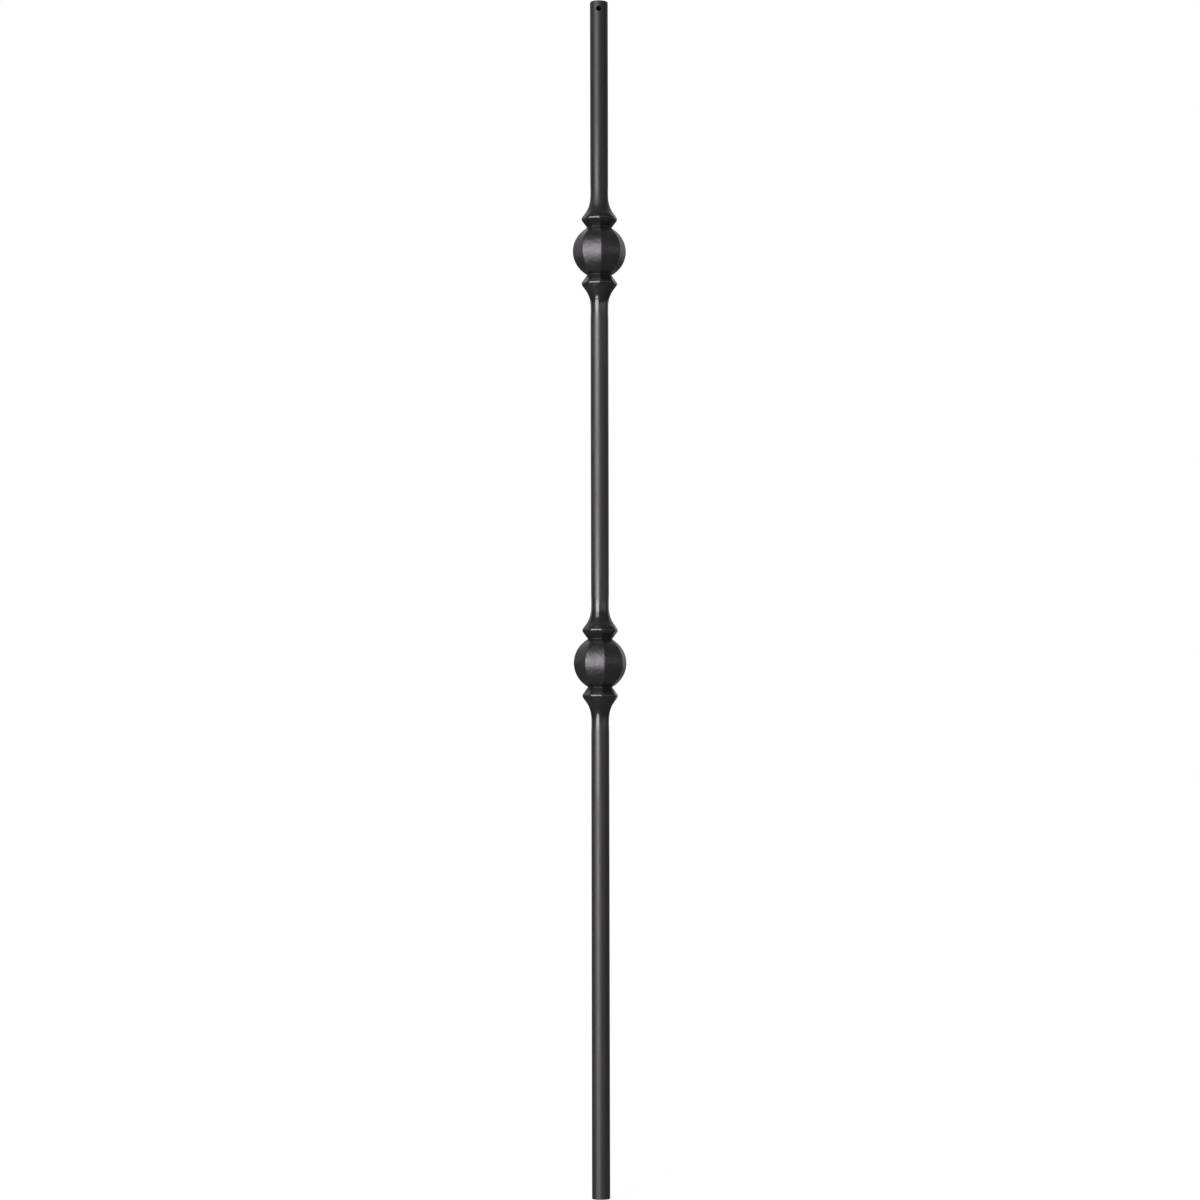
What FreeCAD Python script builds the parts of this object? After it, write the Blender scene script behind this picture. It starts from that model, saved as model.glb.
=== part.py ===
import FreeCAD, Part
import math
import os
import Sketcher

# Iron stair baluster: three lengths of round tube, butt welded end to end through two faceted knuckles.
# The origin is the centre of the foot and +Z runs up the shaft. The front faces -Y.

# Driving dimensions, in millimetres and degrees
SIZES = {
    # Round tube of the shafts
    "shaft_diameter": "16.8",
    "tube_wall": "1.5",
    # Heights along the baluster
    "lower_ball_height": "495",
    "ball_spacing": "386",
    "upper_ball_to_top": "236.6",
    # Outer edges of the tube ends: the top is rounded over, the foot is sawn and deburred
    "top_edge_round": "1.2",
    "foot_chamfer": "0.6",
    # Hanging hole through the front wall near the top
    "hang_hole_diameter": "4.6",
    "hang_hole_drop": "7.8",
    # Knuckle: a ball between two collars, each drawn out in a flare and a short neck.
    # The ball, throat and collar are measured across the edges between their facets.
    "ball_diameter": "50.3",
    "throat_diameter": "23.7",
    "throat_height": "0.5",
    "collar_diameter": "33.4",
    "collar_round": "3.6",
    "collar_slope": "37.2",
    "flare_radius": "26.7",
    "neck_length": "5.2",
    # Facets round the ball and the collars, which run out on the flare this far beyond the crest
    "facet_count": "8",
    "facet_rise": "4.6",
    # Turn of each knuckle: an edge between two facets lies this far to the right of the front
    "upper_edge_turn": "5",
    "lower_edge_turn": "11",
}

# Values worked out from the driving dimensions
WORKED = {
    "shaft_radius": "=Sizes.shaft_diameter / 2",
    "bore_radius": "=shaft_radius - Sizes.tube_wall",
    # Outline of the knuckle through an edge between two facets, with heights from the middle of its ball
    "ball_radius": "=Sizes.ball_diameter / 2",
    "throat_radius": "=Sizes.throat_diameter / 2",
    "throat_low": "=sqrt(ball_radius ^ 2 - throat_radius ^ 2)",
    "throat_high": "=throat_low + Sizes.throat_height",
    "crest_radius": "=Sizes.collar_diameter / 2 + Sizes.collar_round * (1 / cos(Sizes.collar_slope) - 1)",
    "crest_height": "=throat_high + (crest_radius - throat_radius) / tan(Sizes.collar_slope)",
    "flare_tangent": "=Sizes.flare_radius * tan(Sizes.collar_slope / 2)",
    "flare_meet": "=crest_height + (crest_radius - shaft_radius) / tan(Sizes.collar_slope)",
    "flare_end": "=flare_meet + flare_tangent",
    "knuckle_half": "=flare_end + Sizes.neck_length",
    # Bar that the knuckle is cut from, with both ends turned down along the slope of the flare
    "bar_radius": "=ball_radius + Sizes.collar_round",
    "bar_shoulder": "=crest_height - (bar_radius - crest_radius) / tan(Sizes.collar_slope)",
    # Outline through the middle of a facet
    "half_facet_angle": "=180 / Sizes.facet_count",
    "flat_share": "=cos(half_facet_angle)",
    "ball_flat": "=ball_radius * flat_share",
    "throat_flat": "=throat_radius * flat_share",
    "crest_flat": "=crest_radius * flat_share",
    "ball_flat_bulge": "=ball_flat - throat_flat",
    "ball_flat_radius": "=(throat_low ^ 2 + ball_flat_bulge ^ 2) / (2 * ball_flat_bulge)",
    "facet_end_radius": "=crest_radius - Sizes.facet_rise * tan(Sizes.collar_slope)",
    "facet_slope_in": "=atan((crest_flat - throat_flat) / (crest_height - throat_high))",
    "facet_slope_out": "=atan((crest_flat - facet_end_radius) / Sizes.facet_rise)",
    "facet_tangent": "=Sizes.collar_round * tan((facet_slope_in + facet_slope_out) / 2)",
    "cutter_reach": "=bar_radius + Sizes.collar_round",
    # Lengths and places of the pieces
    "bottom_length": "=Sizes.lower_ball_height - knuckle_half",
    "middle_length": "=Sizes.ball_spacing - 2 * knuckle_half",
    "top_length": "=Sizes.upper_ball_to_top - knuckle_half",
    "middle_foot": "=Sizes.lower_ball_height + knuckle_half",
    "upper_ball_height": "=Sizes.lower_ball_height + Sizes.ball_spacing",
    "top_foot": "=upper_ball_height + knuckle_half",
}

# Corners of each outline as formulas: (across, up), or (across, up, radius, side) where an arc
# leaves the corner with its centre on that side of the way round

# Upper half of a knuckle before it is faceted, from the middle of the ball to the end of the neck
BLANK_OUTLINE = [
    ("0", "0"),
    ("Worked.bar_radius", "0"),
    ("Worked.bar_radius", "Worked.bar_shoulder"),
    (
        "Worked.shaft_radius + Worked.flare_tangent * sin(Sizes.collar_slope)",
        "Worked.flare_meet - Worked.flare_tangent * cos(Sizes.collar_slope)",
        "Sizes.flare_radius",
        "right",
    ),
    ("Worked.shaft_radius", "Worked.flare_end"),
    ("Worked.shaft_radius", "Worked.knuckle_half"),
    ("0", "Worked.knuckle_half"),
]

# What one facet takes off that half: all that stands outside the facet's own side outline
FACET_OUTLINE = [
    ("Worked.ball_flat", "0", "Worked.ball_flat_radius", "left"),
    ("Worked.throat_flat", "Worked.throat_low"),
    ("Worked.throat_flat", "Worked.throat_high"),
    (
        "Worked.crest_flat - Worked.facet_tangent * sin(Worked.facet_slope_in)",
        "Worked.crest_height - Worked.facet_tangent * cos(Worked.facet_slope_in)",
        "Sizes.collar_round",
        "left",
    ),
    (
        "Worked.crest_flat - Worked.facet_tangent * sin(Worked.facet_slope_out)",
        "Worked.crest_height + Worked.facet_tangent * cos(Worked.facet_slope_out)",
    ),
    ("Worked.facet_end_radius", "Worked.crest_height + Sizes.facet_rise"),
    ("Worked.cutter_reach", "Worked.crest_height + Sizes.facet_rise"),
    ("Worked.cutter_reach", "0"),
]

# Tubes, each from its own lower end up
BOTTOM_OUTLINE = [
    ("Worked.bore_radius", "0"),
    ("Worked.shaft_radius - Sizes.foot_chamfer", "0"),
    ("Worked.shaft_radius", "Sizes.foot_chamfer"),
    ("Worked.shaft_radius", "Worked.bottom_length"),
    ("Worked.bore_radius", "Worked.bottom_length"),
]
MIDDLE_OUTLINE = [
    ("Worked.bore_radius", "0"),
    ("Worked.shaft_radius", "0"),
    ("Worked.shaft_radius", "Worked.middle_length"),
    ("Worked.bore_radius", "Worked.middle_length"),
]
TOP_OUTLINE = [
    ("Worked.bore_radius", "0"),
    ("Worked.shaft_radius", "0"),
    ("Worked.shaft_radius", "Worked.top_length - Sizes.top_edge_round", "Sizes.top_edge_round", "left"),
    ("Worked.shaft_radius - Sizes.top_edge_round", "Worked.top_length"),
    ("Worked.bore_radius", "Worked.top_length"),
]

FULL_TURN = 360
FRONT_TURN = -90
UP = FreeCAD.Vector(0, 0, 1)

# Numbers that a sketch gives to its own origin and axes, and to the points of its geometry
ORIGIN_INDEX = -1
ACROSS_AXIS_INDEX = -1
UP_AXIS_INDEX = -2
START_INDEX = 1
END_INDEX = 2
CENTRE_INDEX = 3

doc = FreeCAD.newDocument("stair_baluster")


def fill_sheet(name, cells):
    """A spreadsheet with one named cell for each value."""
    sheet = doc.addObject("Spreadsheet::Sheet", name)
    for row, (alias, text) in enumerate(cells.items(), start=1):
        sheet.set(f"A{row}", alias)
        sheet.set(f"B{row}", text)
        sheet.setAlias(f"B{row}", alias)
    doc.recompute()
    return sheet


sizes = fill_sheet("Sizes", SIZES)
worked = fill_sheet("Worked", WORKED)


def number(formula):
    """The value of a formula at the present sizes."""
    return float(worked.evalExpression(formula))


def origin_feature(body, role):
    """One of a body's own origin planes or axes."""
    return next(feature for feature in body.Origin.OriginFeatures if feature.Role == role)


def new_sketch(body, name):
    """An empty sketch on the body's XZ plane: across is X and up is Z."""
    sketch = body.newObject("Sketcher::SketchObject", name)
    sketch.AttachmentSupport = [(origin_feature(body, "XZ_Plane"), "")]
    sketch.MapMode = "FlatFace"
    return sketch


def bind(sketch, constraint, formula):
    """Adds a dimension to a sketch and ties it to its formula."""
    index = sketch.addConstraint(constraint)
    sketch.setExpression(f"Constraints[{index}]", formula)


def place_point(sketch, index, point, across, up):
    """Dimensions a point from the sketch's origin, or puts it on an axis where the formula is 0."""
    for kind, axis, formula in (("DistanceX", UP_AXIS_INDEX, across), ("DistanceY", ACROSS_AXIS_INDEX, up)):
        if formula == "0":
            sketch.addConstraint(Sketcher.Constraint("PointOnObject", index, point, axis))
        else:
            distance = Sketcher.Constraint(kind, ORIGIN_INDEX, START_INDEX, index, point, number(formula))
            bind(sketch, distance, formula)


def arc_between(start, end, radius, side):
    """The short arc from start to end whose centre lies on the left or right of that way."""
    along = end - start
    left = FreeCAD.Vector(-along.y, along.x, 0).normalize()
    reach = math.sqrt(radius ** 2 - (along.Length / 2) ** 2)
    centre = (start + end) / 2 + left * (reach if side == "left" else -reach)
    circle = Part.Circle(centre, UP, radius)
    first, last = (start, end) if side == "left" else (end, start)
    return Part.ArcOfCircle(circle, circle.parameter(first), circle.parameter(last))


def draw_outline(sketch, corners):
    """A closed loop of straight and round stretches through corners that are bound to their formulas."""
    places = [FreeCAD.Vector(number(corner[0]), number(corner[1]), 0) for corner in corners]
    stretches = []
    for corner, start, end in zip(corners, places, places[1:] + places[:1]):
        if len(corner) == 2:
            index = sketch.addGeometry(Part.LineSegment(start, end))
            stretches.append((index, START_INDEX, END_INDEX))
            continue
        radius, side = corner[2:]
        index = sketch.addGeometry(arc_between(start, end, number(radius), side))
        ends = (START_INDEX, END_INDEX) if side == "left" else (END_INDEX, START_INDEX)
        stretches.append((index, *ends))
        bind(sketch, Sketcher.Constraint("Radius", index, number(radius)), radius)
    for before, here, corner in zip(stretches[-1:] + stretches[:-1], stretches, corners):
        sketch.addConstraint(Sketcher.Constraint("Coincident", before[0], before[2], here[0], here[1]))
        place_point(sketch, here[0], here[1], corner[0], corner[1])


def revolve(body, name, corners):
    """A full turn of an outline about the body's own Z axis."""
    sketch = new_sketch(body, name + "_outline")
    draw_outline(sketch, corners)
    turned = body.newObject("PartDesign::Revolution", name)
    turned.Profile = sketch
    turned.ReferenceAxis = (sketch, ["V_Axis"])
    turned.Angle = FULL_TURN
    doc.recompute()
    return turned


def check_cut(before, after):
    """Stops the build where a cut took nothing away."""
    if not after.Shape.Volume < before.Shape.Volume:
        raise RuntimeError(f"{after.Label} cuts nothing")


def shaft(label, foot_height, corners):
    """A length of round tube that stands on the given height."""
    body = doc.addObject("PartDesign::Body", label)
    revolve(body, label + "_tube", corners)
    body.setExpression("Placement.Base.z", foot_height)
    return body


def drill_hanging_hole(body):
    """A hole through the front wall of the tube only."""
    tube = body.Tip
    sketch = new_sketch(body, "hang_hole_outline")
    radius = "Sizes.hang_hole_diameter / 2"
    height = "Worked.top_length - Sizes.hang_hole_drop"
    circle = Part.Circle(FreeCAD.Vector(0, number(height), 0), UP, number(radius))
    index = sketch.addGeometry(circle)
    bind(sketch, Sketcher.Constraint("Radius", index, number(radius)), radius)
    place_point(sketch, index, CENTRE_INDEX, "0", height)
    hole = body.newObject("PartDesign::Pocket", "hang_hole")
    hole.Profile = sketch
    hole.Type = "ThroughAll"
    hole.Reversed = True
    doc.recompute()
    check_cut(tube, hole)


def knuckle(label, ball_height, edge_turn):
    """A ball between two collars, faceted all round and drawn out to the tube at both ends."""
    body = doc.addObject("PartDesign::Body", label)
    blank = revolve(body, label + "_blank", BLANK_OUTLINE)
    outline = new_sketch(body, label + "_facet_outline")
    draw_outline(outline, FACET_OUTLINE)
    facet = body.newObject("PartDesign::Pocket", label + "_facet")
    facet.Profile = outline
    facet.Type = "ThroughAll"
    facet.SideType = "Symmetric"
    doc.recompute()
    check_cut(blank, facet)
    facets = body.newObject("PartDesign::PolarPattern", label + "_facets")
    facets.Originals = [facet]
    facets.Axis = (origin_feature(body, "Z_Axis"), [""])
    facets.Angle = FULL_TURN
    facets.setExpression("Occurrences", "Sizes.facet_count")
    body.Tip = facets
    doc.recompute()
    check_cut(facet, facets)
    whole = body.newObject("PartDesign::Mirrored", label + "_both_halves")
    whole.TransformMode = "Whole shape"
    whole.MirrorPlane = (origin_feature(body, "XY_Plane"), [""])
    body.Tip = whole
    body.setExpression("Placement.Base.z", ball_height)
    body.setExpression("Placement.Rotation.Angle", f"{edge_turn} + {FRONT_TURN} + Worked.half_facet_angle")
    return body


bottom_shaft = shaft("bottom_shaft", "0", BOTTOM_OUTLINE)
lower_knuckle = knuckle("lower_knuckle", "Sizes.lower_ball_height", "Sizes.lower_edge_turn")
middle_shaft = shaft("middle_shaft", "Worked.middle_foot", MIDDLE_OUTLINE)
upper_knuckle = knuckle("upper_knuckle", "Worked.upper_ball_height", "Sizes.upper_edge_turn")
top_shaft = shaft("top_shaft", "Worked.top_foot", TOP_OUTLINE)
drill_hanging_hole(top_shaft)
doc.recompute()

for thing in doc.Objects:
    if {"Invalid", "Error"} & set(thing.State):
        raise RuntimeError(f"{thing.Label} failed: {thing.getStatusString()}")

pieces = [bottom_shaft, lower_knuckle, middle_shaft, upper_knuckle, top_shaft]
for piece in pieces:
    if piece.Shape.isNull() or not piece.Shape.isValid():
        raise RuntimeError(f"{piece.Label} has no valid shape")

os.makedirs("parts", exist_ok=True)
for piece in pieces:
    piece.Shape.exportStep(f"parts/{piece.Label}.step")
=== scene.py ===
"""Looks of an iron stair baluster: coated tube shafts, faceted cast knuckles and a plain white stage."""

import math

import bmesh
import bpy
from mathutils import Matrix, Vector


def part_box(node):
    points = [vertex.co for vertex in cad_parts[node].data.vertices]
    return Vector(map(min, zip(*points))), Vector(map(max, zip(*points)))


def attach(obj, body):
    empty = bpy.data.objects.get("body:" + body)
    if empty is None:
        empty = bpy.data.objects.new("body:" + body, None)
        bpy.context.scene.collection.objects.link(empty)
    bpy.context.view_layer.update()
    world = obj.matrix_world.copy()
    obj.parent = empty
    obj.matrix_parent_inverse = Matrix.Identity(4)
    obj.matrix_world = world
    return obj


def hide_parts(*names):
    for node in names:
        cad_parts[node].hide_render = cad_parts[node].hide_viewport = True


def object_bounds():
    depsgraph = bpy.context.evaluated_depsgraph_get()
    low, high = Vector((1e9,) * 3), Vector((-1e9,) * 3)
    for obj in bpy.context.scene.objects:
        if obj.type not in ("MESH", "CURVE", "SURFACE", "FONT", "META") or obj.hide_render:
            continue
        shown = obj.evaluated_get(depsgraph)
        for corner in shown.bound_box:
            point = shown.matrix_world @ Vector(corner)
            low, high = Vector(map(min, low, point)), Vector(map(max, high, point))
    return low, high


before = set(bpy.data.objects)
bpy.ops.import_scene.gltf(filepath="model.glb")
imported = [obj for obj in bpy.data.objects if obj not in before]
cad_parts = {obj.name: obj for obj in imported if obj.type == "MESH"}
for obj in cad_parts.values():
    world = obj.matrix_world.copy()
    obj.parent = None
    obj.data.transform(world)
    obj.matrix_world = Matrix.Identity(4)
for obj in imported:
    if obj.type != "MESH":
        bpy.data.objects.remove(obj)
CAD_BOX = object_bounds()

bl_info = {
    "name": "Iron Stair Baluster",
    "version": (1, 0, 0),
    "blender": (4, 5, 0),
    "location": "View3D > Sidebar > Baluster",
    "description": "Builds a coated iron stair baluster with two faceted knuckles on a white stage",
    "category": "Object",
}

BODY = "root"
SHAFT_NODES = ("bottom_shaft", "middle_shaft", "top_shaft")
KNUCKLE_NODES = ("lower_knuckle", "upper_knuckle")

# Sizes that the solids settle, in metres
FOOT = CAD_BOX[0].z
TOP = CAD_BOX[1].z
SHAFT_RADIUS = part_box("middle_shaft")[1].x
KNUCKLE_HALF = (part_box("lower_knuckle")[1].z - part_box("lower_knuckle")[0].z) / 2
TOP_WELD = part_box("top_shaft")[0].z
MILLIMETRE = 0.001


def length(name, description, millimetres):
    """A property for a length."""
    return bpy.props.FloatProperty(
        name=name,
        description=description,
        default=millimetres * MILLIMETRE,
        min=0.0,
        unit="LENGTH",
        precision=5,
    )


def share(name, description, default):
    """A property for a share between 0 and 1."""
    return bpy.props.FloatProperty(
        name=name, description=description, default=default, min=0.0, max=1.0, subtype="FACTOR"
    )


def turn(name, description, degrees):
    """A property for an angle."""
    return bpy.props.FloatProperty(
        name=name, description=description, default=math.radians(degrees), subtype="ANGLE"
    )


def colour(name, description, default):
    """A property for a linear colour."""
    return bpy.props.FloatVectorProperty(
        name=name, description=description, default=default, size=3, min=0.0, max=1.0, subtype="COLOR"
    )


def number(name, description, default):
    """A property for a plain number."""
    return bpy.props.FloatProperty(name=name, description=description, default=default, min=0.0)


class ShaftSizes(bpy.types.PropertyGroup):
    """Sizes of the three tubes."""

    tube_wall: length("Tube wall", "Thickness of the tube", 1.5)
    top_round: length("Top round", "Radius of the outer edge at the top end", 1.2)
    foot_round: length("Foot round", "Radius of the deburred outer edge at the foot", 0.6)
    bore_round: length("Bore round", "Radius of the inner edges at both open ends", 0.3)
    hole_radius: length("Hole radius", "Radius of the hanging hole", 2.3)
    hole_drop: length("Hole drop", "From the top end down to the middle of the hanging hole", 7.8)
    hole_rim: length("Hole rim", "Easing of the outer rim of the hanging hole", 0.4)
    waist_depth: length("Waist depth", "How far a weld that was ground flush is sunk", 0.15)
    waist_length: length("Waist length", "How far the sunk stretch reaches along the tube", 9.0)


class KnuckleSizes(bpy.types.PropertyGroup):
    """Sizes of a knuckle; the ball, throat and collar are measured across the edges between facets."""

    ball_radius: length("Ball radius", "Radius of the ball", 25.15)
    throat_radius: length("Throat radius", "Radius of the groove between ball and collar", 11.85)
    throat_height: length("Throat height", "Height of the straight floor of that groove", 0.5)
    collar_radius: length("Collar radius", "Largest radius of a collar", 16.7)
    collar_round: length("Collar round", "Radius of the crest of a collar at its corners", 3.6)
    crest_round: length("Crest round", "Radius of the crest of a collar across a facet", 2.2)
    collar_slope: turn("Collar slope", "Slope of both sides of a collar, from upright", 37.2)
    flare_radius: length("Flare radius", "Radius of the hollow curve from collar to shaft", 26.7)
    facet_count: bpy.props.IntProperty(
        name="Facets", description="Facets round the knuckle", default=8, min=3
    )
    facet_rise: length("Facet rise", "How far beyond the crest a facet runs out on the flare", 4.6)
    facet_edge: length("Facet edge", "Radius of the edge between two facets", 2.4)
    run_out: length("Run-out", "Softness of the line where a facet meets the flare", 0.25)
    lower_turn: turn("Lower turn", "An edge of the lower knuckle lies this far right of the front", 11.0)
    upper_turn: turn("Upper turn", "An edge of the upper knuckle lies this far right of the front", 5.0)


class CoatFinish(bpy.types.PropertyGroup):
    """Colour and gloss of the coat."""

    deep_colour: colour("Deep colour", "The coat where it lies thick", (0.0105, 0.0093, 0.0101))
    thin_colour: colour("Thin colour", "The coat where it lies thin", (0.0190, 0.0171, 0.0186))
    gloss_tint: colour("Gloss tint", "Tint of the coat's mirror reflection", (0.99, 0.95, 0.99))
    # Painted shade: this tint darkens the reflection in the grooves between ball and collar, and it also dims the
    # reflection on the top shaft
    shade_and_dim_tint: colour("Dull tint", "The same where the coat stays dull, as in the grooves", (0.45, 0.43, 0.45))
    # Bare iron inside the tubes and painted shade in the bore: nearly black, with its reflection taken away as well
    bare_and_shade_colour: colour("Bare colour", "Colour inside the tubes, where no coat reaches", (0.0015, 0.0015, 0.0015))
    gloss_index: number("Gloss index", "Refractive index of the coat, which settles how strongly it mirrors", 2.33)
    plain_roughness: share("Plain roughness", "Roughness on the plain shaft", 0.50)
    neck_roughness: share("Neck roughness", "Roughness where the coat lies thick at the foot of a flare", 0.20)
    near_roughness: share("Near roughness", "Roughness on the shaft close to a knuckle", 0.38)
    near_reach: length("Near reach", "From a weld to where the coat is as on the shaft close by", 9.0)
    plain_reach: length("Plain reach", "From a weld to where the coat is as on the plain shaft", 90.0)
    # Dims the reflection on the top shaft, with the same tint that paints shade in the grooves
    top_dimming: share("Top dullness", "Share of the dull tint on the top shaft, where the coat lies thin", 0.55)
    top_weld_dullness: share("Top weld dullness", "Roughness that is added below the uppermost weld", 0.32)
    top_weld_reach: length("Top weld reach", "Half of the height of that duller stretch", 18.0)
    cast_roughness: share("Cast roughness", "Roughness on the cast facets", 0.40)
    groove_roughness: share("Groove roughness", "Roughness in the groove between ball and collar", 0.52)
    crest_roughness: share("Crest roughness", "Roughness on the crest of a collar, rubbed smooth", 0.25)
    flare_roughness: share("Flare roughness", "Roughness on the flare beside a collar", 0.40)


class StageSettings(bpy.types.PropertyGroup):
    """Camera, lights and white surroundings."""

    camera_distance: length("Camera distance", "From the axis to the camera", 3000.0)
    camera_height: length("Camera height", "Of the camera above the foot", 400.0)
    camera_lean: turn("Camera lean", "Small turn of the camera about its line of sight", -0.11)
    key_turn: turn("Key turn", "Of the tall soft light, left of the camera", 33.5)
    key_distance: length("Key distance", "From the axis to the tall soft light", 3000.0)
    key_width: length("Key width", "Width of the tall soft light", 1950.0)
    key_height: length("Key height", "Height of the tall soft light", 1400.0)
    key_centre: length("Key centre", "Height of its middle above the foot", 900.0)
    key_light_level: number("Key light level", "Brightness of the face of the tall soft light", 3.25)
    upper_height: length("Upper height", "Height of the dimmer light on top of the tall one", 1400.0)
    upper_light_level: number("Upper light level", "Brightness of the face of that dimmer light", 1.75)
    low_turn: turn("Low turn", "Of the low soft light, left of the camera", 30.0)
    low_distance: length("Low distance", "From the axis to the low soft light", 1800.0)
    low_width: length("Low width", "Width of the low soft light", 720.0)
    low_height: length("Low height", "Height of the low soft light", 180.0)
    low_centre: length("Low centre", "Height of its middle above the foot", 140.0)
    low_light_level: number("Low light level", "Brightness of the face of the low soft light", 5.8)
    back_distance: length("Back distance", "From the axis to the high soft light behind the object", 2200.0)
    back_width: length("Back width", "Width of the high soft light", 3600.0)
    back_height: length("Back height", "Height of the high soft light", 1600.0)
    back_centre: length("Back centre", "Height of its middle above the foot", 3400.0)
    back_light_level: number("Back light level", "Brightness of the face of the high soft light", 1.5)
    front_level: share("Front level", "Brightness of the room in front of the object", 0.49)
    side_level: share("Side level", "Brightness of the room beside the object", 0.10)
    back_level: share("Back level", "Brightness of the room behind the object, as a light", 0.53)
    upper_share: share("Upper share", "Share of its brightness that the front of the room keeps overhead", 0.20)
    floor_colour: colour("Floor colour", "The pale floor", (0.25, 0.25, 0.25))
    floor_shade: share("Floor shade", "Share of its own shading that the floor shows round the foot", 0.30)
    floor_lift: share("Floor lift", "White that is added to that share, so that the lit floor is white", 0.39)


class BalusterSettings(bpy.types.PropertyGroup):
    """All that a user would change."""

    shafts: bpy.props.PointerProperty(type=ShaftSizes)
    knuckles: bpy.props.PointerProperty(type=KnuckleSizes)
    coat: bpy.props.PointerProperty(type=CoatFinish)
    stage: bpy.props.PointerProperty(type=StageSettings)


# Steps round a turned piece and along its stretches
SHAFT_STEPS = 96
COLUMNS_PER_FACET = 16
PLAIN_ROWS = 40
WAIST_ROWS = 8
ROUND_SEGMENTS = 4
HOLE_STEPS = 48
SHAFT_SHARP_ANGLE = math.radians(30.0)
KNUCKLE_SHARP_ANGLE = math.radians(50.0)

# Noise in the coat: features in a metre, and how strongly and deeply they show
CLOUD_SCALE = 45.0
CLOUD_RANGE = (0.3, 0.7)
CLOUD_ROUGHNESS = 0.16
PEEL_SCALE = 650.0
PEEL_STRENGTH = 0.02
PEEL_DEPTH = 0.2 * MILLIMETRE
MOTTLE_SCALE = 210.0
MOTTLE_STRENGTH = 0.8
MOTTLE_GROOVE_STRENGTH = 0.05
MOTTLE_DEPTH = 0.5 * MILLIMETRE

# Half the width of the floor, and the distances from the foot over which its own shading fades, in metres
FLOOR_HALF = 20.0
SHADE_FADE = (0.2, 1.6)
# Distances behind the foot over which the floor turns into the white backdrop that the coat mirrors, in metres
BACKDROP_FADE = (0.3, 1.5)
# How nearly straight behind the object that backdrop starts, as a cosine
BACKDROP_EDGE = 0.86
WHITE = (1.0, 1.0, 1.0, 1.0)


def smooth_step(low, high, value):
    """0 below low, 1 above high, and a smooth rise between them."""
    part = min(max((value - low) / (high - low), 0.0), 1.0)
    return part * part * (3.0 - 2.0 * part)


def soft_least(first, second, softness):
    """The smaller of two lengths, with the corner where they cross rounded off."""
    near = max(softness - abs(first - second), 0.0) / softness
    return min(first, second) - near * near * softness / 4.0


def waist(sizes, from_seam):
    """How far the outside is sunk at a distance from a ground weld."""
    return sizes.waist_depth * (1.0 - smooth_step(0.0, sizes.waist_length, abs(from_seam)))


def spin_profile(mesh, points, cuts, steps):
    """Turns a profile of (radius, height) points about the Z axis, with rows cut into each stretch."""
    corners = [mesh.verts.new((radius, 0.0, height)) for radius, height in points]
    stretches = [mesh.edges.new(ends) for ends in zip(corners, corners[1:])]
    for stretch, rows in zip(stretches, cuts):
        if rows:
            bmesh.ops.subdivide_edges(mesh, edges=[stretch], cuts=rows)
    bmesh.ops.spin(
        mesh,
        geom=mesh.verts[:] + mesh.edges[:],
        cent=(0.0, 0.0, 0.0),
        axis=(0.0, 0.0, 1.0),
        dvec=(0.0, 0.0, 0.0),
        angle=math.tau,
        steps=steps,
        use_merge=True,
    )
    bmesh.ops.remove_doubles(mesh, verts=mesh.verts[:], dist=MILLIMETRE * 1e-3)


def add_object(name, data):
    """A new object in the scene."""
    thing = bpy.data.objects.new(name, data)
    bpy.context.scene.collection.objects.link(thing)
    return thing


def add_mesh_object(name, mesh):
    """A new object in the scene, with a copy of the mesh."""
    data = bpy.data.meshes.new(name)
    mesh.to_mesh(data)
    return add_object(name, data)


def finish_piece(mesh, node, material, sharp_angle):
    """Makes the mesh the visible piece that stands for a node of the solids."""
    bmesh.ops.recalc_face_normals(mesh, faces=mesh.faces[:])
    piece = add_mesh_object(f"{node}_coated", mesh)
    mesh.free()
    piece.data.shade_smooth()
    piece.data.set_sharp_from_angle(angle=sharp_angle)
    piece.data.materials.append(material)
    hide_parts(node)
    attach(piece, BODY)
    return piece


def ring_edges(mesh, radius, height):
    """The edges of the ring at a radius and a height."""
    near = MILLIMETRE * 1e-2

    def on_ring(vertex):
        return abs(vertex.co.z - height) < near and abs(vertex.co.xy.length - radius) < near

    return [edge for edge in mesh.edges if all(on_ring(vertex) for vertex in edge.verts)]


def round_ring(mesh, radius, height, width):
    """Rounds off the ring at a radius and a height."""
    bmesh.ops.bevel(
        mesh,
        geom=ring_edges(mesh, radius, height),
        offset=width,
        offset_type="OFFSET",
        affect="EDGES",
        segments=ROUND_SEGMENTS,
        profile=0.5,
        material=-1,
        clamp_overlap=True,
    )


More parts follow.
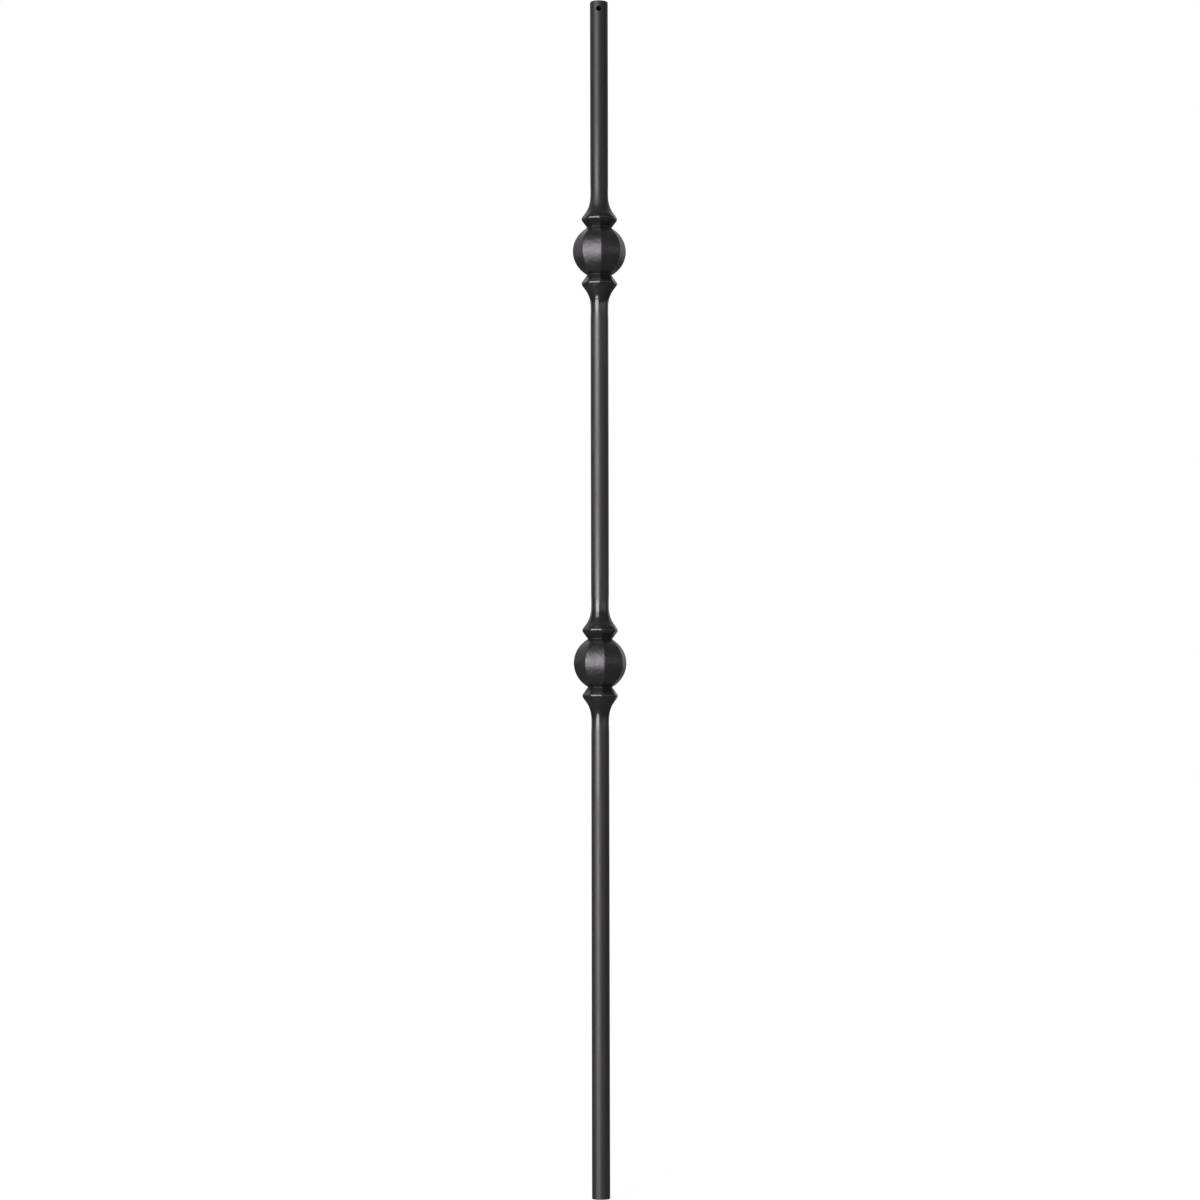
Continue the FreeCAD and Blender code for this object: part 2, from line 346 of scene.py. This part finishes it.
def drill_hole(mesh, sizes):
    """A round hole through the front wall, with its outer rim eased all round."""
    centre = TOP - sizes.hole_drop
    rim = sizes.hole_radius + sizes.hole_rim
    points = [
        (0.0, -2.0 * sizes.tube_wall),
        (sizes.hole_radius, -2.0 * sizes.tube_wall),
        (sizes.hole_radius, -sizes.hole_rim),
        (rim, 0.0),
        (rim, 2.0 * sizes.tube_wall),
        (0.0, 2.0 * sizes.tube_wall),
    ]
    cutter_mesh = bmesh.new()
    spin_profile(cutter_mesh, points, (0, 0, 0, 0, 0), HOLE_STEPS)
    for vertex in cutter_mesh.verts:
        # Heights on the cutter are counted from the round outside of the tube
        across, up, outwards = vertex.co
        outside = math.sqrt(SHAFT_RADIUS ** 2 - across ** 2)
        vertex.co = (across, -outside - outwards, centre + up)
    bmesh.ops.recalc_face_normals(cutter_mesh, faces=cutter_mesh.faces[:])
    cutter = add_mesh_object("hole_cutter", cutter_mesh)
    cutter_mesh.free()
    tube = add_mesh_object("undrilled_tube", mesh)
    cut = tube.modifiers.new("hole", "BOOLEAN")
    cut.operation = "DIFFERENCE"
    cut.solver = "EXACT"
    cut.object = cutter
    drilled = bpy.data.meshes.new_from_object(tube.evaluated_get(bpy.context.evaluated_depsgraph_get()))
    mesh.clear()
    mesh.from_mesh(drilled)
    spare = (cutter.data, tube.data, drilled)
    for thing in (cutter, tube):
        bpy.data.objects.remove(thing)
    for data in spare:
        bpy.data.meshes.remove(data)


def build_shaft(node, settings, material):
    """One tube, with its welded ends a little sunk and its open end eased."""
    sizes = settings.shafts
    low, high = (corner.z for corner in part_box(node))
    welded_low = low - FOOT > MILLIMETRE
    welded_high = TOP - high > MILLIMETRE
    bore = SHAFT_RADIUS - sizes.tube_wall
    points = [
        (bore, low),
        (SHAFT_RADIUS, low),
        (SHAFT_RADIUS, low + sizes.waist_length),
        (SHAFT_RADIUS, high - sizes.waist_length),
        (SHAFT_RADIUS, high),
        (bore, high),
        (bore, low),
    ]
    mesh = bmesh.new()
    spin_profile(mesh, points, (0, WAIST_ROWS, PLAIN_ROWS, WAIST_ROWS, 0, 0), SHAFT_STEPS)
    for vertex in mesh.verts:
        if vertex.co.xy.length < (bore + SHAFT_RADIUS) / 2:
            continue
        sunk = waist(sizes, vertex.co.z - low) if welded_low else 0.0
        sunk += waist(sizes, high - vertex.co.z) if welded_high else 0.0
        vertex.co.xy *= 1.0 - sunk / SHAFT_RADIUS
    if not welded_low:
        round_ring(mesh, SHAFT_RADIUS, low, sizes.foot_round)
        round_ring(mesh, bore, low, sizes.bore_round)
    if not welded_high:
        round_ring(mesh, SHAFT_RADIUS, high, sizes.top_round)
        round_ring(mesh, bore, high, sizes.bore_round)
        drill_hole(mesh, sizes)
    return finish_piece(mesh, node, material, SHAFT_SHARP_ANGLE)


class KnuckleForm:
    """Radius of a knuckle at any height from the middle of its ball and any angle from a facet's edge."""

    def __init__(self, settings):
        sizes = settings.knuckles
        self.sizes = sizes
        self.weld = settings.shafts
        self.half_facet = math.pi / sizes.facet_count
        flat = math.cos(self.half_facet)
        rise = math.tan(sizes.collar_slope)
        self.cone_slope = rise
        self.throat_low = math.sqrt(sizes.ball_radius ** 2 - sizes.throat_radius ** 2)
        self.throat_high = self.throat_low + sizes.throat_height
        self.crest = sizes.collar_radius + sizes.collar_round * (1.0 / math.cos(sizes.collar_slope) - 1.0)
        self.crest_height = self.throat_high + (self.crest - sizes.throat_radius) / rise
        self.flare_meet = self.crest_height + (self.crest - SHAFT_RADIUS) / rise
        self.flare_tangent = sizes.flare_radius * math.tan(sizes.collar_slope / 2)
        self.flare_end = self.flare_meet + self.flare_tangent
        self.flare_start = self.flare_meet - self.flare_tangent * math.cos(sizes.collar_slope)
        self.ball_flat = sizes.ball_radius * flat
        self.throat_flat = sizes.throat_radius * flat
        self.crest_flat = self.crest * flat
        bulge = self.ball_flat - self.throat_flat
        self.ball_flat_radius = (self.throat_low ** 2 + bulge ** 2) / (2.0 * bulge)
        self.facet_end_height = self.crest_height + sizes.facet_rise
        facet_end = self.crest - sizes.facet_rise * rise
        self.slope_in = (self.crest_flat - self.throat_flat) / (self.crest_height - self.throat_high)
        self.slope_out = (self.crest_flat - facet_end) / sizes.facet_rise
        half_bend = (math.atan(self.slope_in) + math.atan(self.slope_out)) / 2
        self.crest_softness = 4.0 * sizes.crest_round * (1.0 / math.cos(half_bend) - 1.0)
        self.collar_softness = 4.0 * sizes.collar_round * (1.0 / math.cos(sizes.collar_slope) - 1.0)

    def flat_radius(self, height):
        """From the axis to the middle of a facet."""
        if height <= self.throat_low:
            centre = self.ball_flat - self.ball_flat_radius
            return centre + math.sqrt(self.ball_flat_radius ** 2 - height ** 2)
        if height <= self.throat_high:
            return self.throat_flat
        inner = self.throat_flat + (height - self.throat_high) * self.slope_in
        outer = self.crest_flat - (height - self.crest_height) * self.slope_out
        return soft_least(inner, outer, self.crest_softness)

    def flare_radius(self, height):
        """From the axis to the turned flare and neck, carried on past the crest as a cone."""
        if height <= self.flare_start:
            return self.crest - (height - self.crest_height) * self.cone_slope
        if height < self.flare_end:
            rest = self.flare_end - height
            return SHAFT_RADIUS + self.sizes.flare_radius - math.sqrt(self.sizes.flare_radius ** 2 - rest ** 2)
        return SHAFT_RADIUS

    def facet_radius(self, height, from_edge):
        """From the axis to the faceted form, with the edges between facets rounded."""
        flat = self.flat_radius(height)
        plain = flat / math.cos(self.half_facet - from_edge)
        edge = min(self.sizes.facet_edge, flat / 2)
        centre = (flat - edge) / math.cos(self.half_facet)
        last = math.atan2(edge * math.sin(self.half_facet), centre + edge * math.cos(self.half_facet))
        if from_edge >= last:
            return plain
        across = centre * math.sin(from_edge)
        return centre * math.cos(from_edge) + math.sqrt(edge ** 2 - across ** 2)

    def turned_radius(self, height):
        """From the axis to the collar, flare and neck as turned, before the facets."""
        collar = self.sizes.throat_radius + (height - self.throat_high) * self.cone_slope
        outside = soft_least(collar, self.flare_radius(height), self.collar_softness)
        return outside - waist(self.weld, KNUCKLE_HALF - height)

    def radius(self, height, from_edge):
        """From the axis to the surface."""
        height = abs(height)
        if height <= self.throat_high:
            return self.facet_radius(height, from_edge)
        turned = self.turned_radius(height)
        if height > self.facet_end_height + self.sizes.facet_rise / 2:
            return turned
        return soft_least(self.facet_radius(height, from_edge), turned, self.sizes.run_out)


def build_knuckle(node, edge_turn, settings, material):
    """A ball between two collars, faceted all round and drawn out to the tube at both ends."""
    form = KnuckleForm(settings)
    count = settings.knuckles.facet_count
    low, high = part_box(node)
    middle = (low.z + high.z) / 2
    # Heights that the form turns on, with the rows cut between each and the next
    stretches = [
        (0.0, 40),
        (form.throat_low, 2),
        (form.throat_high, 16),
        (form.crest_height - settings.knuckles.collar_round / 2, 8),
        (form.crest_height + settings.knuckles.collar_round / 2, 20),
        (form.facet_end_height + settings.knuckles.facet_rise / 2, 20),
        (form.flare_end, WAIST_ROWS),
        (KNUCKLE_HALF, 0),
    ]
    heights = [-height for height, rows in stretches[:0:-1]] + [height for height, rows in stretches]
    cuts = [rows for height, rows in stretches[-2::-1]] + [rows for height, rows in stretches[:-1]]
    mesh = bmesh.new()
    points = [(SHAFT_RADIUS, height) for height in heights]
    spin_profile(mesh, points, cuts, count * COLUMNS_PER_FACET)
    facet_angle = math.tau / count
    for vertex in mesh.verts:
        # Columns are drawn towards the edges between facets, where the form turns most
        angle = math.atan2(vertex.co.y, vertex.co.x)
        facet, part = divmod(angle / facet_angle, 1.0)
        part = (1.0 - math.cos(math.pi * part)) / 2.0
        from_edge = min(part, 1.0 - part) * facet_angle
        around = (facet + part) * facet_angle + edge_turn - math.pi / 2
        radius = form.radius(vertex.co.z, from_edge)
        height = middle + vertex.co.z
        vertex.co = (radius * math.cos(around), radius * math.sin(around), height)
    rims = [edge for edge in mesh.edges if edge.is_boundary]
    bmesh.ops.holes_fill(mesh, edges=rims, sides=0)
    return finish_piece(mesh, node, material, KNUCKLE_SHARP_ANGLE)


def add_node(tree, kind, links=(), **values):
    """A shader node with its properties set, and sockets linked or given a value."""
    node = tree.nodes.new(kind)
    for name, value in values.items():
        setattr(node, name, value)
    for socket, source in links:
        target = node.inputs[socket]
        if isinstance(source, bpy.types.NodeSocket):
            tree.links.new(source, target)
        else:
            target.default_value = source
    return node


def math_node(tree, operation, *values):
    """The outcome of a sum on one, two or three values."""
    return add_node(tree, "ShaderNodeMath", enumerate(values), operation=operation).outputs[0]


def noise(tree, place, scale, detail, roughness=0.5):
    """Cloudy noise of so many features in a metre."""
    links = (("Vector", place), ("Scale", scale), ("Detail", detail), ("Roughness", roughness))
    return add_node(tree, "ShaderNodeTexNoise", links).outputs["Fac"]


def span(tree, value, low, high, at_low, at_high):
    """A smooth change from one value to another over a range."""
    links = (("Value", value), (1, low), (2, high), (3, at_low), (4, at_high))
    node = add_node(tree, "ShaderNodeMapRange", links, interpolation_type="SMOOTHSTEP")
    return node.outputs["Result"]


def along(tree, place, stops):
    """A value that goes smoothly from stop to stop, each given as a place and the value there."""
    value = stops[0][1]
    for (low, at_low), (high, at_high) in zip(stops, stops[1:]):
        if at_low != at_high:
            value = math_node(tree, "ADD", value, span(tree, place, low, high, 0.0, at_high - at_low))
    return value


def blend(tree, factor, first, second):
    """A colour that goes from one to another, each a plain colour or a link."""
    links = [("Factor", factor)]
    for socket, source in (("A", first), ("B", second)):
        links.append((socket, source if isinstance(source, bpy.types.NodeSocket) else (*source, 1.0)))
    return add_node(tree, "ShaderNodeMix", links, data_type="RGBA").outputs["Result"]


def new_material(name):
    """An empty node material, and its output node."""
    material = bpy.data.materials.new(name)
    material.use_nodes = True
    tree = material.node_tree
    tree.nodes.clear()
    return material, tree, add_node(tree, "ShaderNodeOutputMaterial")


def height_from_balls(tree, height):
    """Distance along the shaft to the middle of the nearer ball."""
    distances = []
    for node in KNUCKLE_NODES:
        low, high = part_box(node)
        offset = math_node(tree, "SUBTRACT", height, (low.z + high.z) / 2)
        distances.append(math_node(tree, "ABSOLUTE", offset))
    return math_node(tree, "MINIMUM", *distances)


def coat_roughness(tree, finish, form, height, from_ball):
    """Glossy where a flare meets the shaft, duller in the grooves and at the uppermost weld."""
    crest_half = form.sizes.collar_round / 2
    stops = (
        (form.throat_low - 2.0 * crest_half, finish.cast_roughness),
        (form.throat_low, finish.groove_roughness),
        (form.crest_height - crest_half, finish.crest_roughness),
        (form.crest_height + crest_half, finish.crest_roughness),
        (form.facet_end_height, finish.flare_roughness),
        (form.flare_meet - 3.0 * crest_half, finish.flare_roughness),
        (form.flare_meet - crest_half, finish.neck_roughness),
        (form.flare_end, finish.neck_roughness),
        (KNUCKLE_HALF + finish.near_reach, finish.near_roughness),
        (KNUCKLE_HALF + finish.plain_reach, finish.plain_roughness),
    )
    dull_middle = TOP_WELD - finish.top_weld_reach / 2
    from_middle = math_node(tree, "ABSOLUTE", math_node(tree, "SUBTRACT", height, dull_middle))
    dull = span(tree, from_middle, 0.0, finish.top_weld_reach, finish.top_weld_dullness, 0.0)
    return math_node(tree, "ADD", along(tree, from_ball, stops), dull)


def gloss_tints(tree, finish, form, height, from_ball):
    """Tint of the mirror reflection: painted shade darkens it in the grooves between ball and collar, and it is
    dimmer on the top shaft.
    """
    crest_half = form.sizes.collar_round / 2
    # Painted shade in the groove between ball and collar and on the collar's inner slope
    stops = (
        (form.throat_low - 2.0 * crest_half, 0.0),
        (form.throat_low, 1.0),
        (form.crest_height - 2.0 * crest_half, 1.0),
        (form.crest_height - crest_half, 0.0),
    )
    # The reflection grows dimmer towards the uppermost weld and stays dimmer over the top shaft
    top_share = span(tree, height, TOP_WELD - finish.top_weld_reach, TOP_WELD, 0.0, finish.top_dimming)
    shade_and_dim_share = math_node(tree, "MAXIMUM", along(tree, from_ball, stops), top_share)
    return blend(tree, shade_and_dim_share, finish.gloss_tint, finish.shade_and_dim_tint)


def coated_not_shaded_share(tree, sizes, axes):
    """1 on the outside of a tube and 0 in its bore, because the coat stops at the inner edges and the bore is
    painted dark as shade.
    """
    bore = SHAFT_RADIUS - sizes.tube_wall
    across = math_node(tree, "MULTIPLY", axes["X"], axes["X"])
    from_axis = math_node(tree, "SQRT", math_node(tree, "MULTIPLY_ADD", axes["Y"], axes["Y"], across))
    return span(tree, from_axis, bore, bore + sizes.bore_round, 0.0, 1.0)


def coat_skin(tree, form, place, from_ball, cast):
    """Fine peel of the coat, over a casting also with the casting's mottle."""
    peel = noise(tree, place, PEEL_SCALE, 2.0)
    links = (("Strength", PEEL_STRENGTH), ("Distance", PEEL_DEPTH), ("Height", peel))
    skin = add_node(tree, "ShaderNodeBump", links).outputs["Normal"]
    if cast:
        mottle = noise(tree, place, MOTTLE_SCALE, 1.0)
        groove_start = form.throat_low - form.sizes.collar_round / 2
        strength = span(tree, from_ball, groove_start, form.throat_low, MOTTLE_STRENGTH, MOTTLE_GROOVE_STRENGTH)
        links = (("Strength", strength), ("Distance", MOTTLE_DEPTH), ("Height", mottle), ("Normal", skin))
        skin = add_node(tree, "ShaderNodeBump", links).outputs["Normal"]
    return skin


def coat(name, settings, cast):
    """Satin black powder coat, over a casting or over a tube that is bare inside, with painted shade in the grooves
    and in the tube's bore.
    """
    finish = settings.coat
    form = KnuckleForm(settings)
    material, tree, output = new_material(name)
    place = add_node(tree, "ShaderNodeTexCoord").outputs["Object"]
    axes = add_node(tree, "ShaderNodeSeparateXYZ", (("Vector", place),)).outputs
    height = axes["Z"]
    from_ball = height_from_balls(tree, height)

    clouds = noise(tree, place, CLOUD_SCALE, 3.0)
    shades = blend(tree, span(tree, clouds, *CLOUD_RANGE, 0.0, 1.0), finish.deep_colour, finish.thin_colour)
    tints = gloss_tints(tree, finish, form, height, from_ball)
    # Inside a tube, colour and reflection tint go nearly black: bare iron, and painted shade in the bore
    if not cast:
        coated_not_shaded = coated_not_shaded_share(tree, settings.shafts, axes)
        shades = blend(tree, coated_not_shaded, finish.bare_and_shade_colour, shades)
        tints = blend(tree, coated_not_shaded, finish.bare_and_shade_colour, tints)
    uneven = math_node(tree, "MULTIPLY_ADD", clouds, CLOUD_ROUGHNESS, -CLOUD_ROUGHNESS / 2)
    roughness = math_node(tree, "ADD", coat_roughness(tree, finish, form, height, from_ball), uneven)

    links = (
        ("Base Color", shades),
        ("Roughness", roughness),
        ("IOR", finish.gloss_index),
        ("Specular Tint", tints),
        ("Normal", coat_skin(tree, form, place, from_ball, cast)),
    )
    surface = add_node(tree, "ShaderNodeBsdfPrincipled", links)
    tree.links.new(surface.outputs["BSDF"], output.inputs["Surface"])
    return material


def seen_as_background(tree):
    """Two values: 1 for rays that go straight on or through glass, and 1 for mirrored rays."""
    path = add_node(tree, "ShaderNodeLightPath")
    straight = math_node(tree, "MAXIMUM", path.outputs["Is Camera Ray"], path.outputs["Is Transmission Ray"])
    return straight, path.outputs["Is Glossy Ray"]


def backdrop_share(tree, away):
    """Rises from 0 beside the object to 1 straight behind it."""
    links = (("Value", away), (1, BACKDROP_EDGE), (2, 1.0), (3, 0.0), (4, 1.0))
    rise = add_node(tree, "ShaderNodeMapRange", links).outputs["Result"]
    return math_node(tree, "POWER", rise, 2.0)


def floor_material(stage):
    """A pale floor that shows white and keeps a soft shadow."""
    material, tree, output = new_material("pale_floor")
    straight, mirrored = seen_as_background(tree)
    place = add_node(tree, "ShaderNodeTexCoord").outputs["Object"]
    from_foot = add_node(tree, "ShaderNodeVectorMath", ((0, place),), operation="LENGTH").outputs["Value"]
    near = span(tree, from_foot, *SHADE_FADE, 1.0, 0.0)
    away = add_node(tree, "ShaderNodeSeparateXYZ", (("Vector", place),)).outputs["Y"]
    behind = backdrop_share(tree, math_node(tree, "DIVIDE", away, math_node(tree, "MAXIMUM", from_foot, 0.01)))
    behind = math_node(tree, "MULTIPLY", behind, span(tree, away, *BACKDROP_FADE, 0.0, 1.0))
    mirrored = math_node(tree, "MULTIPLY", mirrored, behind)
    straight = math_node(tree, "MULTIPLY", straight, math_node(tree, "MULTIPLY_ADD", near, -stage.floor_shade, 1.0))
    shown = math_node(tree, "MAXIMUM", straight, mirrored)
    pale = add_node(tree, "ShaderNodeBsdfDiffuse", (("Color", (*stage.floor_colour, 1.0)),))
    strength = math_node(tree, "MULTIPLY_ADD", near, stage.floor_lift, 1.0)
    white = add_node(tree, "ShaderNodeEmission", (("Color", WHITE), ("Strength", strength)))
    links = ((0, shown), (1, pale.outputs["BSDF"]), (2, white.outputs["Emission"]))
    mixed = add_node(tree, "ShaderNodeMixShader", links)
    tree.links.new(mixed.outputs["Shader"], output.inputs["Surface"])
    return material


def white_world(stage):
    """White to look at and behind the object, and a dimmer room in front of it."""
    world = bpy.data.worlds.new("white_room")
    world.use_nodes = True
    tree = world.node_tree
    tree.nodes.clear()
    output = add_node(tree, "ShaderNodeOutputWorld")
    direction = add_node(tree, "ShaderNodeTexCoord").outputs["Generated"]
    parts = add_node(tree, "ShaderNodeSeparateXYZ", (("Vector", direction),)).outputs
    away = parts["Y"]
    # Along the line of sight: the front of the room, its dim sides and its back
    stops = ((-0.3, stage.front_level), (0.1, stage.side_level), (0.3, stage.side_level), (0.7, stage.back_level))
    # The front of the room grows dimmer from just below eye level upwards
    overhead = math_node(
        tree, "MULTIPLY", span(tree, parts["Z"], -0.1, 0.45, 0.0, 1.0), span(tree, away, -0.2, 0.4, 1.0, 0.0)
    )
    kept = math_node(tree, "MULTIPLY_ADD", overhead, stage.upper_share - 1.0, 1.0)
    room_level = math_node(tree, "MULTIPLY", along(tree, away, stops), kept)
    straight, mirrored = seen_as_background(tree)
    shown = math_node(tree, "MAXIMUM", straight, math_node(tree, "MULTIPLY", mirrored, backdrop_share(tree, away)))
    white = add_node(tree, "ShaderNodeBackground", (("Color", WHITE), ("Strength", 1.0)))
    room = add_node(tree, "ShaderNodeBackground", (("Color", WHITE), ("Strength", room_level)))
    links = ((0, shown), (1, room.outputs["Background"]), (2, white.outputs["Background"]))
    mixed = add_node(tree, "ShaderNodeMixShader", links)
    tree.links.new(mixed.outputs["Shader"], output.inputs["Surface"])
    bpy.context.scene.world = world


class BALUSTER_OT_build_shafts(bpy.types.Operator):
    """Build the three coated tubes"""

    bl_idname = "baluster.build_shafts"
    bl_label = "Build Shafts"

    def execute(self, context):
        settings = context.scene.baluster
        material = coat("shaft_powder_coat", settings, cast=False)
        for node in SHAFT_NODES:
            build_shaft(node, settings, material)
        return {"FINISHED"}


class BALUSTER_OT_build_knuckles(bpy.types.Operator):
    """Build the two faceted knuckles"""

    bl_idname = "baluster.build_knuckles"
    bl_label = "Build Knuckles"

    def execute(self, context):
        settings = context.scene.baluster
        material = coat("knuckle_powder_coat", settings, cast=True)
        turns = (settings.knuckles.lower_turn, settings.knuckles.upper_turn)
        for node, edge_turn in zip(KNUCKLE_NODES, turns):
            build_knuckle(node, edge_turn, settings, material)
        return {"FINISHED"}


class BALUSTER_OT_set_stage(bpy.types.Operator):
    """Set the white floor and room, the soft lights and the camera"""

    bl_idname = "baluster.set_stage"
    bl_label = "Set Stage"

    def execute(self, context):
        stage = context.scene.baluster.stage
        self.lay_floor(stage)
        self.hang_light(
            "tall_soft_light",
            stage.key_light_level,
            (stage.key_turn, stage.key_distance, stage.key_centre),
            (stage.key_width, stage.key_height),
        )
        self.hang_light(
            "upper_soft_light",
            stage.upper_light_level,
            (stage.key_turn, stage.key_distance, stage.key_centre + (stage.key_height + stage.upper_height) / 2),
            (stage.key_width, stage.upper_height),
        )
        self.hang_light(
            "low_soft_light",
            stage.low_light_level,
            (stage.low_turn, stage.low_distance, stage.low_centre),
            (stage.low_width, stage.low_height),
        )
        self.hang_light(
            "back_soft_light",
            stage.back_light_level,
            (math.pi, stage.back_distance, stage.back_centre),
            (stage.back_width, stage.back_height),
        )
        self.place_camera(context, stage)
        white_world(stage)
        context.scene.view_settings.view_transform = "Standard"
        return {"FINISHED"}

    def lay_floor(self, stage):
        """A wide floor under the foot."""
        mesh = bmesh.new()
        level = Matrix.Translation((0.0, 0.0, FOOT))
        bmesh.ops.create_grid(mesh, x_segments=1, y_segments=1, size=FLOOR_HALF, matrix=level)
        floor = add_mesh_object("floor", mesh)
        mesh.free()
        floor.data.materials.append(floor_material(stage))

    def hang_light(self, name, level, place, size):
        """A soft light that faces the axis; its place is a turn to the left, a distance and a height."""
        left_turn, distance, centre = place
        light = bpy.data.lights.new(name, "AREA")
        light.shape = "RECTANGLE"
        light.size, light.size_y = size
        light.energy = level * math.pi * size[0] * size[1]
        lamp = add_object(name, light)
        across = -math.sin(left_turn) * distance
        away = -math.cos(left_turn) * distance
        lamp.location = (across, away, FOOT + centre)
        inwards = Vector((-across, -away, 0.0))
        lamp.rotation_euler = inwards.to_track_quat("-Z", "Y").to_euler()

    def place_camera(self, context, stage):
        """In front, a little below the middle, framed from the foot to the top end."""
        reach = stage.camera_distance - SHAFT_RADIUS
        highest = math.atan2(TOP - FOOT - stage.camera_height, reach)
        lowest = math.atan2(-stage.camera_height, reach)
        data = bpy.data.cameras.new("camera")
        data.sensor_fit = "HORIZONTAL"
        data.angle = highest - lowest
        camera = add_object("camera", data)
        upwards = math.pi / 2 + (highest + lowest) / 2
        lean = Matrix.Rotation(stage.camera_lean, 4, "Z")
        place = Matrix.Translation((0.0, -stage.camera_distance, FOOT + stage.camera_height))
        camera.matrix_world = place @ Matrix.Rotation(upwards, 4, "X") @ lean
        context.scene.camera = camera


class BALUSTER_PT_panel(bpy.types.Panel):
    """Sizes, finish and stage of the baluster"""

    bl_idname = "BALUSTER_PT_panel"
    bl_label = "Iron Stair Baluster"
    bl_space_type = "VIEW_3D"
    bl_region_type = "UI"
    bl_category = "Baluster"

    def draw(self, context):
        settings = context.scene.baluster
        for group in (settings.shafts, settings.knuckles, settings.coat, settings.stage):
            box = self.layout.box()
            for name in group.__annotations__:
                box.prop(group, name)
        for operator in OPERATORS:
            self.layout.operator(operator.bl_idname)


GROUPS = (ShaftSizes, KnuckleSizes, CoatFinish, StageSettings, BalusterSettings)
OPERATORS = (BALUSTER_OT_build_shafts, BALUSTER_OT_build_knuckles, BALUSTER_OT_set_stage)
CLASSES = (*GROUPS, *OPERATORS, BALUSTER_PT_panel)


def register():
    for cls in CLASSES:
        bpy.utils.register_class(cls)
    bpy.types.Scene.baluster = bpy.props.PointerProperty(type=BalusterSettings)


def unregister():
    del bpy.types.Scene.baluster
    for cls in reversed(CLASSES):
        bpy.utils.unregister_class(cls)


def main():
    register()
    bpy.ops.baluster.build_shafts()
    bpy.ops.baluster.build_knuckles()
    bpy.ops.baluster.set_stage()


if __name__ == "__main__":
    main()
